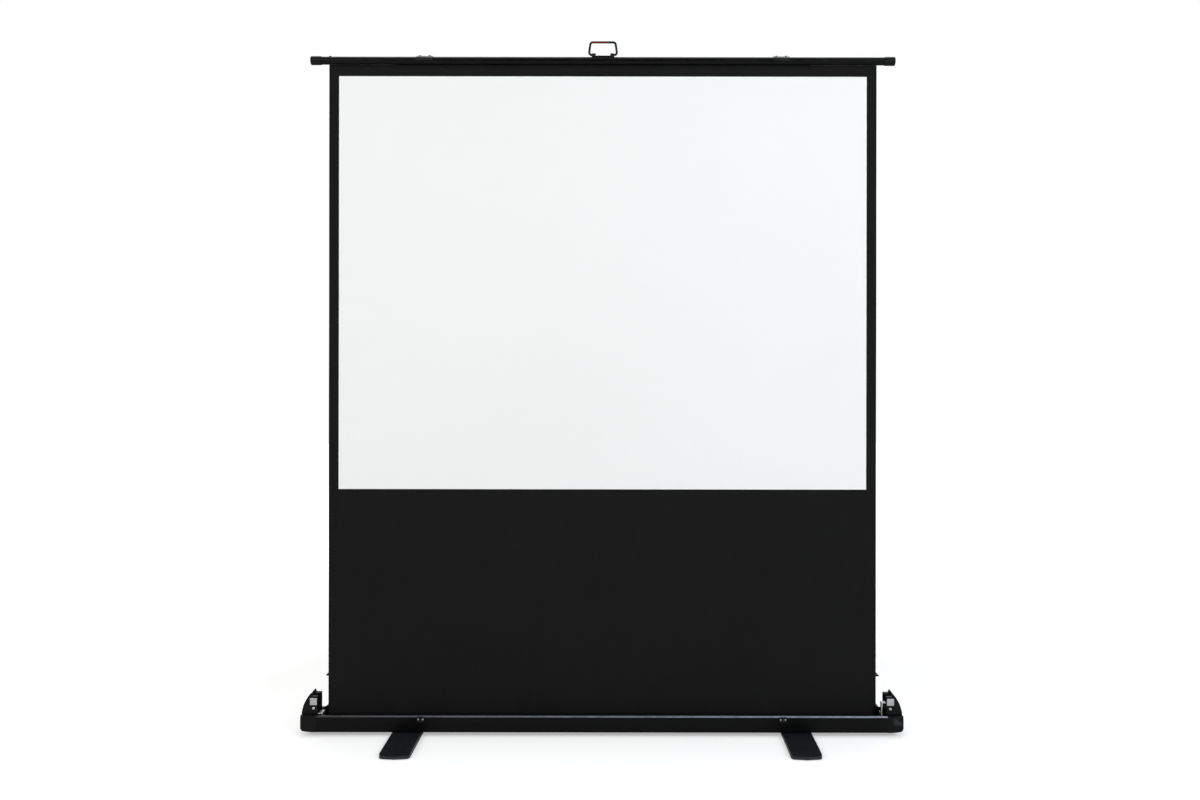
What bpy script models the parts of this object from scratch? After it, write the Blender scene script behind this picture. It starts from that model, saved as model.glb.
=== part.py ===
"""Floor-standing projector screen, raised and ready for use.

A shallow metal case stands on two swivelling feet. A folding scissor lifts a
round top bar out of the case, and the bar draws the sheet off a spring roller.
Metres, +Z up, front towards -Y, origin on the floor under the middle of the case.
"""

from math import acos, asin, atan2, cos, degrees, pi, radians, sin, tan

import bmesh
import bpy
from mathutils import Matrix, Vector

for old in list(bpy.data.objects):
    bpy.data.objects.remove(old, do_unlink=True)

# Clearances
SEAT = 0.0003
RUNNING = 0.0004
SLIDE = 0.0005

# Case
BASE_LENGTH = 1.811
CAP_LENGTH = 0.0485
CASE_DEPTH = 0.098
CASE_WALL = 0.002
CASE_CORNER = 0.006
FRONT_WALL = 0.050
LIP_DEPTH = 0.008
LIP_CORNER = 0.0035

# End caps
CAP_TOP_REACH = 0.022
CAP_BULGE_HEIGHT = 0.032
CAP_BULGE_POWER = 2.4
CAP_FOOT_RISE = 0.002
CAP_FOOT_RADIUS = 0.012
CAP_ROUNDING = 0.005
CAP_HOLLOW_WALL = 0.0035
EAR_TOP = 0.104
EAR_RIM_RISE = 0.007
EAR_RIM_WIDTH = 0.006
EAR_FRONT = -0.032
EAR_REAR = 0.022
EAR_WIDTH = 0.023
EAR_ROOT = 0.008
EAR_ROOT_INSET = 0.006
EAR_WALL = 0.004
CRADLE_CLEARANCE = 0.0012
CAP_PLATE_SIZE = 0.021
CAP_PLATE_THICKNESS = 0.0012
CAP_PLATE_DROP = 0.005
CAP_SCREW_HEAD = 0.0045
CAP_SCREW_RISE = 0.002
CAP_SCREW_DROP = 0.036

# Feet
FOOT_LENGTH = 0.470
FOOT_WIDTH = 0.088
FOOT_THICKNESS = 0.0115
FOOT_CORNER = 0.012
FOOT_CROWN = 0.006
FOOT_TAPER_LENGTH = 0.025
FOOT_TAPER_DROP = 0.0037
FOOT_INSET = 0.2717
FOOT_PIVOT_Y = -0.0045
PAD_THICKNESS = 0.002
PAD_LENGTH = 0.050
PAD_INSET = 0.012
FOOT_BOLT_RADIUS = 0.005
FOOT_BOLT_HEAD = 0.011
FOOT_BOLT_HEAD_THICKNESS = 0.0013
FOOT_NUT_RADIUS = 0.008
FOOT_NUT_FLANGE = 0.002
FOOT_NUT_HEIGHT = 0.0045

# Sheet and roller
SHEET_END_ROOM = 0.0267
SHEET_THICKNESS = 0.0005
SIDE_BORDER = 0.030
VIEW_HEIGHT = 1.252
VIEW_LAYER = 0.0003
TOP_BORDER = 0.035
ROLLER_RADIUS = 0.015
ROLLER_WALL = 0.0012
ROLLER_HEIGHT = 0.042
ROLLER_Y = -0.0240
ROLLER_OVERHANG = 0.006
WRAP_THICKNESS = 0.0006
PLUG_DEPTH = 0.022
PLUG_FLANGE = 0.003
PIN_RADIUS = 0.004
PIN_STICK_OUT = 0.003
BRACKET_THICKNESS = 0.002
BRACKET_WIDTH = 0.032
BRACKET_SHELF = 0.012
BRACKET_RISE = 0.028
BRACKET_TAB_RISE = 0.062
BRACKET_TAB_WIDTH = 0.016
ARBOR_RADIUS = 0.004
ARBOR_LENGTH = 0.240

# Top bar
BAR_HEIGHT = 2.0385
BAR_LENGTH = 1.771
BAR_RADIUS = 0.012
BAR_WALL = 0.0015
BAR_PLUG_LENGTH = 0.031
BAR_PLUG_SKIN = 0.0011
BAR_PLUG_END = 0.002
CLIP_INSET = 0.3455
CLIP_WIDTH = 0.050
CLIP_THICKNESS = 0.002
CLIP_TAIL = 0.010
CLIP_FRONT_ANGLE = 5.0
BAR_SCREW_SPACING = 0.029
BAR_SCREW_HEAD = 0.004
BAR_SCREW_RISE = 0.0024
SHEET_SCREW_INSET = 0.0585

# Pull handle
HANDLE_WIRE = 0.0035
HANDLE_WIDTH = 0.086
HANDLE_TOP_WIDTH = 0.0755
HANDLE_REACH = 0.0385
HANDLE_BEND = 0.008
HANDLE_PLATE_LENGTH = 0.068
HANDLE_PLATE_WIDTH = 0.018
HANDLE_PLATE_THICKNESS = 0.002
HANDLE_KNUCKLE_LENGTH = 0.012
HANDLE_KNUCKLE_WALL = 0.0016
HANDLE_SCREW_SPACING = 0.022

# Scissor
ARM_PITCH = 0.920
ARM_WIDTH = 0.016
ARM_THICKNESS = 0.004
ARM_STOWED_PITCH = 0.0168
STAGES = 3
COLLAR_THICKNESS = 0.0014
RIVET_COLLAR = 0.0075
RIVET_RADIUS = 0.003
RIVET_HEAD = 0.006
RIVET_FRONT_RISE = 0.0014
RIVET_REAR_RISE = 0.0025
TRACK_HEIGHT = 0.025
TRACK_DEPTH = 0.012
TRACK_WALL = 0.002
TRACK_LIP = 0.0035
TRACK_MARGIN = 0.030
BLOCK_LENGTH = 0.030
BLOCK_BOSS = 0.0055
PIVOT_DROP = 0.0130

# Lid, opened fully back against its stop
LID_OPEN_ANGLE = 92.0
LID_OVERHANG = 0.003
LID_FLANGE = 0.047
LID_FRONT_FLANGE = 0.051
LID_WALL = 0.0015
LID_CORNER = 0.004
LID_HEM = 0.004
LID_HEM_CORNER = 0.002
LID_END_GAP = 0.006
HINGE_HEIGHT = 0.068
HINGE_PIN = 0.0020
HINGE_KNUCKLE = 0.0042
HINGE_LENGTH = 0.030
HINGE_INSET = 0.3767
HINGE_LEAF = 0.0015
HINGE_LEAF_DROP = 0.018

# Lid latches
LATCH_INSET = 0.3137
LATCH_WIDTH = 0.016
LATCH_LENGTH = 0.018
LATCH_PLATE = 0.0015
LATCH_RISE = 0.0065
LATCH_BASE_SHIFT = 0.002
LATCH_SETBACK = 0.026
LATCH_LEVER = 0.034
LATCH_HOOK = 0.004
LATCH_PIN = 0.0015
LATCH_EYE = 0.0028
KEEPER_WIDTH = 0.020
KEEPER_HEIGHT = 0.018
KEEPER_THICKNESS = 0.0015
KEEPER_HOOK = 0.005
KEEPER_HOOK_DROP = 0.003
KEEPER_TOP_DROP = 0.001
KEEPER_RIVET_SPACING = 0.014
KEEPER_RIVET_HEAD = 0.0022
KEEPER_RIVET_RISE = 0.0012

# Facets on round pieces
ROUND = 16
FINE_ROUND = 28
SMALL_ROUND = 12

# Places worked out from the sizes above
CASE_BOTTOM = PAD_THICKNESS + FOOT_THICKNESS + SEAT
CASE_FLOOR = CASE_BOTTOM + CASE_WALL
FRONT_TOP = CASE_BOTTOM + FRONT_WALL
CASE_HALF = BASE_LENGTH / 2 - CAP_LENGTH - SEAT
SHEET_WIDTH = 2 * (CASE_HALF - SHEET_END_ROOM)
VIEW_WIDTH = SHEET_WIDTH - 2 * SIDE_BORDER
FOOT_SPREAD = CASE_HALF - FOOT_INSET
LATCH_SPREAD = CASE_HALF - LATCH_INSET
HINGE_SPREAD = CASE_HALF - HINGE_INSET
CLIP_SPREAD = BAR_LENGTH / 2 - CLIP_INSET
SHEET_SCREW_OFFSET = BAR_LENGTH / 2 - SHEET_SCREW_INSET
EAR_LEVEL = CASE_BOTTOM + EAR_TOP
WRAP_RADIUS = ROLLER_RADIUS + SEAT + WRAP_THICKNESS
SHEET_FRONT = ROLLER_Y + WRAP_RADIUS + SEAT
SHEET_Y = SHEET_FRONT + SHEET_THICKNESS / 2
BAR_Y = SHEET_Y
TRACK_FRONT = BAR_Y + BAR_RADIUS + SEAT + CLIP_THICKNESS + SEAT
TRACK_BACK = TRACK_FRONT + TRACK_DEPTH
ARM_A_FRONT = TRACK_BACK + SEAT + RIVET_FRONT_RISE + SEAT
ARM_A_BACK = ARM_A_FRONT + ARM_THICKNESS
ARM_B_FRONT = ARM_A_BACK + SEAT + COLLAR_THICKNESS + SEAT
ARM_B_BACK = ARM_B_FRONT + ARM_THICKNESS
ARM_A_Y = (ARM_A_FRONT + ARM_A_BACK) / 2
ARM_B_Y = (ARM_B_FRONT + ARM_B_BACK) / 2
LOWER_PIVOT_Z = CASE_FLOOR + SEAT + TRACK_HEIGHT / 2
UPPER_PIVOT_Z = BAR_HEIGHT - PIVOT_DROP
STAGE_RISE = (UPPER_PIVOT_Z - LOWER_PIVOT_Z) / STAGES
BAR_STOWED_HEIGHT = LOWER_PIVOT_Z + STAGES * ARM_STOWED_PITCH + PIVOT_DROP
ARM_ANGLE = asin(STAGE_RISE / ARM_PITCH)
STOWED_ANGLE = asin(ARM_STOWED_PITCH / ARM_PITCH)
ARM_SPAN = ARM_PITCH * cos(ARM_ANGLE)
STOWED_SPAN = ARM_PITCH * cos(STOWED_ANGLE)
PIVOT_X = -ARM_SPAN / 2
SLIDER_X = PIVOT_X + ARM_SPAN
TRACK_LEFT = PIVOT_X - TRACK_MARGIN
TRACK_RIGHT = PIVOT_X + STOWED_SPAN + TRACK_MARGIN
VIEW_TOP = BAR_HEIGHT - BAR_RADIUS - TOP_BORDER
LID_LENGTH = 2 * (CASE_HALF - LID_END_GAP)
HINGE_Y = CASE_DEPTH / 2 - CASE_WALL - SEAT - HINGE_KNUCKLE
LID_DEPTH = HINGE_KNUCKLE + HINGE_Y + CASE_DEPTH / 2 + LID_OVERHANG
LID_TILT = radians(LID_OPEN_ANGLE - 90)
REAR_REACH = CASE_DEPTH / 2 - HINGE_Y
REAR_TOP = HINGE_HEIGHT - HINGE_KNUCKLE / cos(LID_TILT) - REAR_REACH * tan(LID_TILT) - SEAT
HANDLE_AXIS_Z = BAR_HEIGHT + BAR_RADIUS + SEAT + HANDLE_PLATE_THICKNESS + HANDLE_WIRE + RUNNING

SCREEN = bpy.data.collections.new("projector_screen")
CUTTERS = bpy.data.collections.new("cutters")
bpy.context.scene.collection.children.link(SCREEN)
bpy.context.scene.collection.children.link(CUTTERS)


def material(name, colour, roughness, metallic):
    """A Principled material of one plain colour."""
    made = bpy.data.materials.new(name)
    made.use_nodes = True
    shader = made.node_tree.nodes["Principled BSDF"]
    shader.inputs["Base Color"].default_value = (*colour, 1.0)
    shader.inputs["Roughness"].default_value = roughness
    shader.inputs["Metallic"].default_value = metallic
    made.diffuse_color = (*colour, 1.0)
    return made


BLACK_PAINT = material("black_paint", (0.028, 0.028, 0.031), 0.45, 0.0)
BLACK_PLASTIC = material("black_plastic", (0.022, 0.022, 0.024), 0.55, 0.0)
BLACK_STEEL = material("black_steel", (0.035, 0.035, 0.038), 0.40, 0.6)
ZINC_STEEL = material("zinc_steel", (0.62, 0.62, 0.64), 0.35, 1.0)
ALUMINIUM = material("aluminium", (0.70, 0.70, 0.71), 0.35, 1.0)
WHITE_NYLON = material("white_nylon", (0.78, 0.77, 0.74), 0.50, 0.0)
RUBBER = material("rubber", (0.015, 0.015, 0.015), 0.85, 0.0)
BLACK_CLOTH = material("black_cloth", (0.012, 0.012, 0.013), 0.90, 0.0)
MATT_WHITE = material("matt_white", (0.88, 0.88, 0.88), 0.90, 0.0)

PIVOTS = {}


def pivot(name, place, parent=None, turn=0.0):
    """An empty on a joint axis; a turn tilts what it carries about X."""
    empty = bpy.data.objects.new(name + "_axis", None)
    SCREEN.objects.link(empty)
    if parent:
        empty.parent = PIVOTS[parent]
        place = Vector(place) - world_place(parent)
    empty.location = place
    empty.rotation_euler = (turn, 0.0, 0.0)
    PIVOTS[name] = empty
    return empty


def world_place(name):
    """Where a joint's empty stands in the world."""
    place = Vector((0.0, 0.0, 0.0))
    empty = PIVOTS[name]
    while empty:
        place += empty.location
        empty = empty.parent
    return place


def put(name, mesh, finish, place=(0, 0, 0), body=None, turn=(0, 0, 0), local=False):
    """An object from a mesh, placed in the world or in its body's own frame."""
    mesh.name = name
    mesh.materials.clear()
    mesh.materials.append(finish)
    made = bpy.data.objects.new(name, mesh)
    SCREEN.objects.link(made)
    place = Vector(place)
    if body:
        made.parent = PIVOTS[body]
        if not local:
            place -= world_place(body)
    made.location = place
    made.rotation_euler = turn
    return made


def bevel(made, width, segments=2, angle=40.0):
    """Rounds the sharp edges of an object."""
    edge = made.modifiers.new("bevel", "BEVEL")
    edge.width = width
    edge.segments = segments
    edge.limit_method = "ANGLE"
    edge.angle_limit = radians(angle)
    return made


def smooth(mesh, angle=35.0):
    """Smooth shading that keeps edges sharper than the angle."""
    mesh.shade_smooth()
    mesh.set_sharp_from_angle(angle=radians(angle))
    return mesh


AXIS_TURN = {
    "Z": Matrix.Identity(4),
    "Y": Matrix.Rotation(-pi / 2, 4, "X"),
    "X": Matrix.Rotation(pi / 2, 4, "Y"),
}
PLANE_TURN = {
    "XY": Matrix.Identity(4),
    "XZ": Matrix.Rotation(pi / 2, 4, "X"),
    "YZ": Matrix(((0, 0, 1, 0), (1, 0, 0, 0), (0, 1, 0, 0), (0, 0, 0, 1))),
}


def block_mesh(size, centre=(0, 0, 0)):
    """A box mesh of the given size about a centre."""
    shape = bmesh.new()
    bmesh.ops.create_cube(shape, size=1.0)
    bmesh.ops.scale(shape, vec=size, verts=shape.verts)
    bmesh.ops.translate(shape, vec=centre, verts=shape.verts)
    return as_mesh(shape)


def as_mesh(shape):
    """A mesh made from a bmesh, which is freed."""
    mesh = bpy.data.meshes.new("mesh")
    shape.to_mesh(mesh)
    shape.free()
    return mesh


def baked(made):
    """The evaluated mesh of a temporary object, which is removed."""
    bpy.context.view_layer.update()
    seen = made.evaluated_get(bpy.context.evaluated_depsgraph_get())
    mesh = bpy.data.meshes.new_from_object(seen)
    bpy.data.objects.remove(made, do_unlink=True)
    shape = bmesh.new()
    shape.from_mesh(mesh)
    bmesh.ops.remove_doubles(shape, verts=shape.verts, dist=0.000005)
    bmesh.ops.recalc_face_normals(shape, faces=shape.faces)
    shape.to_mesh(mesh)
    shape.free()
    return mesh


def turned_mesh(profile, axis="Z", steps=ROUND, centre=(0, 0, 0), closed=False):
    """A profile of (radius, height) pairs, from top to bottom, turned about an axis."""
    mesh = bpy.data.meshes.new("profile")
    points = [(radius, 0.0, height) for radius, height in profile]
    edges = [(i, i + 1) for i in range(len(points) - 1)]
    if closed:
        edges.append((len(points) - 1, 0))
    mesh.from_pydata(points, edges, [])
    made = bpy.data.objects.new("profile", mesh)
    CUTTERS.objects.link(made)
    screw = made.modifiers.new("screw", "SCREW")
    screw.steps = steps
    screw.render_steps = steps
    screw.use_merge_vertices = True
    screw.merge_threshold = 0.00001
    turned = baked(made)
    turned.transform(Matrix.Translation(centre) @ AXIS_TURN[axis])
    return smooth(turned)


def rod_mesh(radius, length, axis="Z", steps=ROUND, centre=(0, 0, 0)):
    """A plain round rod about its centre."""
    half = length / 2
    profile = [(0, half), (radius, half), (radius, -half), (0, -half)]
    return turned_mesh(profile, axis, steps, centre)


def tube_mesh(outer, inner, length, axis="Z", steps=ROUND, centre=(0, 0, 0)):
    """A round tube, open at both ends, about its centre."""
    half = length / 2
    profile = [(outer, half), (outer, -half), (inner, -half), (inner, half)]
    return turned_mesh(profile, axis, steps, centre, closed=True)


def wire_mesh(points, radius, resolution):
    """A round wire along a list of points."""
    curve = bpy.data.curves.new("path", "CURVE")
    curve.dimensions = "3D"
    curve.bevel_depth = radius
    curve.bevel_resolution = resolution
    curve.use_fill_caps = True
    spline = curve.splines.new("POLY")
    spline.points.add(len(points) - 1)
    for point, place in zip(spline.points, points):
        point.co = (*place, 1.0)
    made = bpy.data.objects.new("path", curve)
    CUTTERS.objects.link(made)
    return smooth(baked(made), 60)


def plate_mesh(outline, thickness, plane="XY", holes=(), centre=(0, 0, 0)):
    """A flat outline, with any holes, thickened equally to both sides."""
    curve = bpy.data.curves.new("outline", "CURVE")
    curve.dimensions = "2D"
    curve.fill_mode = "BOTH"
    curve.extrude = thickness / 2
    for loop in [outline, *holes]:
        spline = curve.splines.new("POLY")
        spline.points.add(len(loop) - 1)
        spline.use_cyclic_u = True
        for point, (across, up) in zip(spline.points, loop):
            point.co = (across, up, 0.0, 1.0)
    made = bpy.data.objects.new("outline", curve)
    CUTTERS.objects.link(made)
    mesh = baked(made)
    mesh.transform(Matrix.Translation(centre) @ PLANE_TURN[plane])
    return smooth(mesh)


def ring_points(radius, centre=(0.0, 0.0), steps=ROUND):
    """Points round a circle."""
    turns = [2 * pi * i / steps for i in range(steps)]
    return [(centre[0] + radius * cos(a), centre[1] + radius * sin(a)) for a in turns]


def arc_points(centre, radius, start, end, steps):
    """Points along an arc, with its angles in degrees."""
    turns = [radians(start + (end - start) * i / steps) for i in range(steps + 1)]
    return [(centre[0] + radius * cos(a), centre[1] + radius * sin(a)) for a in turns]


def rounded(path, radius, steps=3, closed=False):
    """A path whose inner corners are replaced by arcs of one radius."""
    out = []
    count = len(path)
    for i, point in enumerate(path):
        here = Vector(point)
        if not closed and i in (0, count - 1):
            out.append(tuple(here))
            continue
        before = (Vector(path[i - 1]) - here).normalized()
        after = (Vector(path[(i + 1) % count]) - here).normalized()
        half = before.angle(after) / 2
        middle = here + (before + after).normalized() * (radius / sin(half))
        first = here + before * (radius / tan(half)) - middle
        last = here + after * (radius / tan(half)) - middle
        start = atan2(first.y, first.x)
        sweep = (atan2(last.y, last.x) - start + pi) % (2 * pi) - pi
        for k in range(steps + 1):
            angle = start + sweep * k / steps
            out.append((middle.x + radius * cos(angle), middle.y + radius * sin(angle)))
    return out


def folded_mesh(section, length, centre_x=0.0):
    """An open skin: a (y, z) section drawn out along X."""
    shape = bmesh.new()
    start = [shape.verts.new((centre_x - length / 2, y, z)) for y, z in section]
    edges = [shape.edges.new(pair) for pair in zip(start, start[1:])]
    drawn = bmesh.ops.extrude_edge_only(shape, edges=edges)["geom"]
    moved = [item for item in drawn if isinstance(item, bmesh.types.BMVert)]
    bmesh.ops.translate(shape, vec=(length, 0, 0), verts=moved)
    return as_mesh(shape)


def thicken(made, thickness, side):
    """Gives an open skin its metal thickness to one side of it."""
    solid = made.modifiers.new("wall", "SOLIDIFY")
    solid.thickness = thickness
    solid.offset = side
    solid.use_even_offset = True
    return made


def boolean(made, mesh, operation):
    """Cuts or joins an object with a mesh given in that object's own frame."""
    tool = bpy.data.objects.new(made.name + "_tool", mesh)
    CUTTERS.objects.link(tool)
    tool.hide_render = True
    tool.display_type = "WIRE"
    tool.parent = made.parent
    tool.location = made.location
    tool.rotation_euler = made.rotation_euler
    step = made.modifiers.new(operation.lower(), "BOOLEAN")
    step.operation = operation
    step.solver = "EXACT"
    step.object = tool
    return made


def head_mesh(radius, rise, facing="up", root=0.0):
    """A domed screw or rivet head that can reach down a little into what it holds."""
    profile = [(0, rise), (radius * 0.65, rise), (radius, rise * 0.35), (radius, -root), (0, -root)]
    mesh = turned_mesh(profile, "Z", SMALL_ROUND)
    if facing == "front":
        mesh.transform(Matrix.Rotation(pi / 2, 4, "X"))
    return mesh


def cap_reach(height):
    """How far an end cap bulges outwards from the case end at a height."""
    belly = CASE_BOTTOM + CAP_BULGE_HEIGHT
    rim = EAR_LEVEL + EAR_RIM_RISE
    share = max(0.0, (height - belly) / (rim - belly))
    return CAP_LENGTH - (CAP_LENGTH - CAP_TOP_REACH) * share ** CAP_BULGE_POWER


def build_cap(side, name):
    """One moulded end cap; side is -1 for the left and 1 for the right."""
    belly = CASE_BOTTOM + CAP_BULGE_HEIGHT
    start = side * (CASE_HALF + SEAT)
    foot_centre = (CAP_LENGTH - CAP_FOOT_RADIUS, CASE_BOTTOM + CAP_FOOT_RISE + CAP_FOOT_RADIUS)
    steps = 4
    heights = [FRONT_TOP + (belly - FRONT_TOP) * k / steps for k in range(steps + 1)]
    outline = [(cap_reach(z), z) for z in heights]
    outline += arc_points(foot_centre, CAP_FOOT_RADIUS, 0, -90, 4)
    outline += [(CAP_LENGTH / 3, CASE_BOTTOM), (0.0, CASE_BOTTOM), (0.0, FRONT_TOP)]
    mesh = plate_mesh([(x * side, z) for x, z in outline], CASE_DEPTH, "XZ")
    shape = bmesh.new()
    shape.from_mesh(mesh)
    bmesh.ops.dissolve_limit(shape, angle_limit=radians(1), verts=shape.verts, edges=shape.edges)
    rims = []
    for edge in shape.edges:
        ends = [vertex.co for vertex in edge.verts]
        on_face = all(abs(abs(end.y) - CASE_DEPTH / 2) < 1e-5 for end in ends)
        along_face = abs(ends[0].y - ends[1].y) < 1e-5
        at_case = all(abs(end.x) < 1e-5 for end in ends)
        if on_face and along_face and not at_case:
            rims.append(edge)
    bmesh.ops.bevel(shape, geom=rims, offset=CAP_ROUNDING, segments=2, profile=0.5, affect="EDGES")
    shape.to_mesh(mesh)
    shape.free()
    made = put(name, smooth(mesh), BLACK_PLASTIC, (start, 0, 0))
    rim = EAR_LEVEL + EAR_RIM_RISE
    low = FRONT_TOP - EAR_ROOT
    steps = 6
    heights = [rim + (low - rim) * k / steps for k in range(steps + 1)]
    outline = [(cap_reach(z) - (EAR_ROOT_INSET if k == steps else 0.0), z) for k, z in enumerate(heights)]
    outline += [(EAR_WALL, low), (0.0, FRONT_TOP), (0.0, EAR_LEVEL)]
    outline += [(CAP_TOP_REACH - EAR_RIM_WIDTH, EAR_LEVEL), (CAP_TOP_REACH - EAR_RIM_WIDTH / 2, rim)]
    ear_centre = (0, (EAR_FRONT + EAR_REAR) / 2, 0)
    ear = plate_mesh([(x * side, z) for x, z in outline], EAR_REAR - EAR_FRONT, "XZ", centre=ear_centre)
    boolean(made, ear, "UNION")
    cradle = BAR_RADIUS + BAR_PLUG_SKIN + CRADLE_CLEARANCE
    floor = BAR_STOWED_HEIGHT - cradle
    slot = rounded([(-cradle, 2 * rim), (-cradle, floor), (cradle, floor), (cradle, 2 * rim)],
                   cradle * 0.9, 4)
    boolean(made, plate_mesh(slot, 4 * CAP_LENGTH, "YZ", centre=(0, BAR_Y, 0)), "DIFFERENCE")
    depth = CASE_DEPTH - 2 * CAP_HOLLOW_WALL - 2 * CAP_ROUNDING
    height = FRONT_WALL - 2 * CAP_HOLLOW_WALL - CAP_ROUNDING
    length = CAP_LENGTH - CAP_HOLLOW_WALL - CAP_FOOT_RADIUS
    centre = (side * (length - CAP_LENGTH) / 2 , 0, CASE_BOTTOM + CAP_HOLLOW_WALL + height / 2)
    boolean(made, block_mesh((length + CAP_LENGTH, depth, height), centre), "DIFFERENCE")
    return made


def build_case():
    """The long folded case with its end caps and their trim."""
    half = CASE_DEPTH / 2
    corners = [(-half + LIP_DEPTH, FRONT_TOP), (-half, FRONT_TOP), (-half, CASE_BOTTOM),
               (half, CASE_BOTTOM), (half, REAR_TOP)]
    lip = rounded(corners[:3], LIP_CORNER, 2)[:-1]
    rest = rounded(corners[1:], CASE_CORNER, 2)[1:]
    skin = put("case_shell", folded_mesh(lip + rest, 2 * CASE_HALF), BLACK_PAINT)
    thicken(skin, CASE_WALL, 1.0)
    for side in (-1, 1):
        hole = rod_mesh(FOOT_BOLT_RADIUS + RUNNING, 4 * CASE_WALL, "Z", ROUND,
                        (side * FOOT_SPREAD, FOOT_PIVOT_Y, CASE_BOTTOM + CASE_WALL / 2))
        boolean(skin, hole, "DIFFERENCE")
    build_cap(-1, "end_cap_left")
    build_cap(1, "end_cap_right")
    plate_y = EAR_FRONT - SEAT - CAP_PLATE_THICKNESS / 2
    plate_x = CASE_HALF + SEAT + EAR_WIDTH / 2
    plate_z = EAR_LEVEL - CAP_PLATE_DROP - CAP_PLATE_SIZE / 2
    screw_z = EAR_LEVEL - CAP_SCREW_DROP
    for side, word in ((-1, "left"), (1, "right")):
        plate = block_mesh((CAP_PLATE_SIZE, CAP_PLATE_THICKNESS, CAP_PLATE_SIZE))
        put("cap_plate_" + word, plate, ZINC_STEEL, (side * plate_x, plate_y, plate_z))
        put("cap_screw_" + word, head_mesh(CAP_SCREW_HEAD, CAP_SCREW_RISE, "front"), ZINC_STEEL,
            (side * plate_x, EAR_FRONT - SEAT, screw_z))


def build_keepers():
    """A hooked keeper plate with its rivets for each lid latch, on the front of the case."""
    front = -CASE_DEPTH / 2 - SEAT
    back = front - KEEPER_THICKNESS
    low = FRONT_TOP - KEEPER_HEIGHT
    hook = back - KEEPER_HOOK
    top = FRONT_TOP - KEEPER_TOP_DROP
    outline = [(front, low), (front, top), (hook, top), (hook, top - KEEPER_HOOK_DROP),
               (hook + KEEPER_THICKNESS, top - KEEPER_HOOK_DROP), (hook + KEEPER_THICKNESS, top - KEEPER_THICKNESS),
               (back, top - KEEPER_THICKNESS), (back, low)]
    rivet_z = FRONT_TOP - KEEPER_HEIGHT / 2
    for side, name in ((-1, "lid_keeper_left"), (1, "lid_keeper_right")):
        mesh = plate_mesh(outline, KEEPER_WIDTH, "YZ")
        keeper = put(name, mesh, ZINC_STEEL, (side * LATCH_SPREAD, 0, 0))
        for end in (-1, 1):
            rivet = head_mesh(KEEPER_RIVET_HEAD, KEEPER_RIVET_RISE, "front", KEEPER_THICKNESS / 2)
            rivet.transform(Matrix.Translation((end * KEEPER_RIVET_SPACING / 2, back, rivet_z)))
            boolean(keeper, rivet, "UNION")


def build_feet():
    """Two swivelling feet with rubber pads and pivot bolts."""
    half = FOOT_LENGTH / 2
    wide = FOOT_WIDTH / 2
    outline = rounded([(-wide, -half + FOOT_CROWN), (0.0, -half), (wide, -half + FOOT_CROWN),
                       (wide, half - FOOT_CROWN), (0.0, half), (-wide, half - FOOT_CROWN)],
                      FOOT_CORNER, 3, closed=True)
    outline = [(x, y - FOOT_PIVOT_Y) for x, y in outline]
    bolt_hole = ring_points(FOOT_BOLT_RADIUS + RUNNING)
    middle = PAD_THICKNESS + FOOT_THICKNESS / 2
    pad = block_mesh((FOOT_WIDTH - 2 * PAD_INSET, PAD_LENGTH, PAD_THICKNESS - SEAT))
    pad_y = half - PAD_INSET - PAD_LENGTH / 2
    nut_base = CASE_FLOOR + SEAT
    nut_face = nut_base + FOOT_NUT_FLANGE
    nut_top = nut_face + FOOT_NUT_HEIGHT
    head_top = PAD_THICKNESS - SEAT
    head_bottom = head_top - FOOT_BOLT_HEAD_THICKNESS
    bolt_profile = [(0, nut_top), (FOOT_NUT_RADIUS, nut_top), (FOOT_NUT_RADIUS, nut_face),
                    (FOOT_BOLT_HEAD, nut_face), (FOOT_BOLT_HEAD, nut_base), (FOOT_BOLT_RADIUS, nut_base),
                    (FOOT_BOLT_RADIUS, head_top), (FOOT_BOLT_HEAD, head_top),
                    (FOOT_BOLT_HEAD, head_bottom), (0, head_bottom)]
    slope = FOOT_TAPER_DROP / FOOT_TAPER_LENGTH
    beyond = half + FOOT_CORNER
    top = FOOT_THICKNESS / 2
    for side, word in ((-1, "left"), (1, "right")):
        body = "foot_" + word
        centre = (side * FOOT_SPREAD, FOOT_PIVOT_Y, middle)
        pivot(body, centre)
        foot = put(body, plate_mesh(outline, FOOT_THICKNESS, "XY", [bolt_hole]), BLACK_PAINT, centre, body)
        for end in (-1, 1):
            begin = end * (half - FOOT_TAPER_LENGTH) - FOOT_PIVOT_Y
            finish = end * beyond - FOOT_PIVOT_Y
            low = top - slope * (beyond - half + FOOT_TAPER_LENGTH)
            wedge = [(begin, top), (finish, low), (finish, 2 * top), (begin, 2 * top)]
            boolean(foot, plate_mesh(wedge, 2 * FOOT_WIDTH, "YZ"), "DIFFERENCE")
        for end, which in ((-1, "front"), (1, "rear")):
            place = (side * FOOT_SPREAD, end * pad_y, PAD_THICKNESS / 2 - SEAT / 2)
            put("foot_pad_%s_%s" % (word, which), pad.copy(), RUBBER, place, body)
        put("foot_bolt_" + word, turned_mesh(bolt_profile), ZINC_STEEL, (side * FOOT_SPREAD, FOOT_PIVOT_Y, 0))


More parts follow.
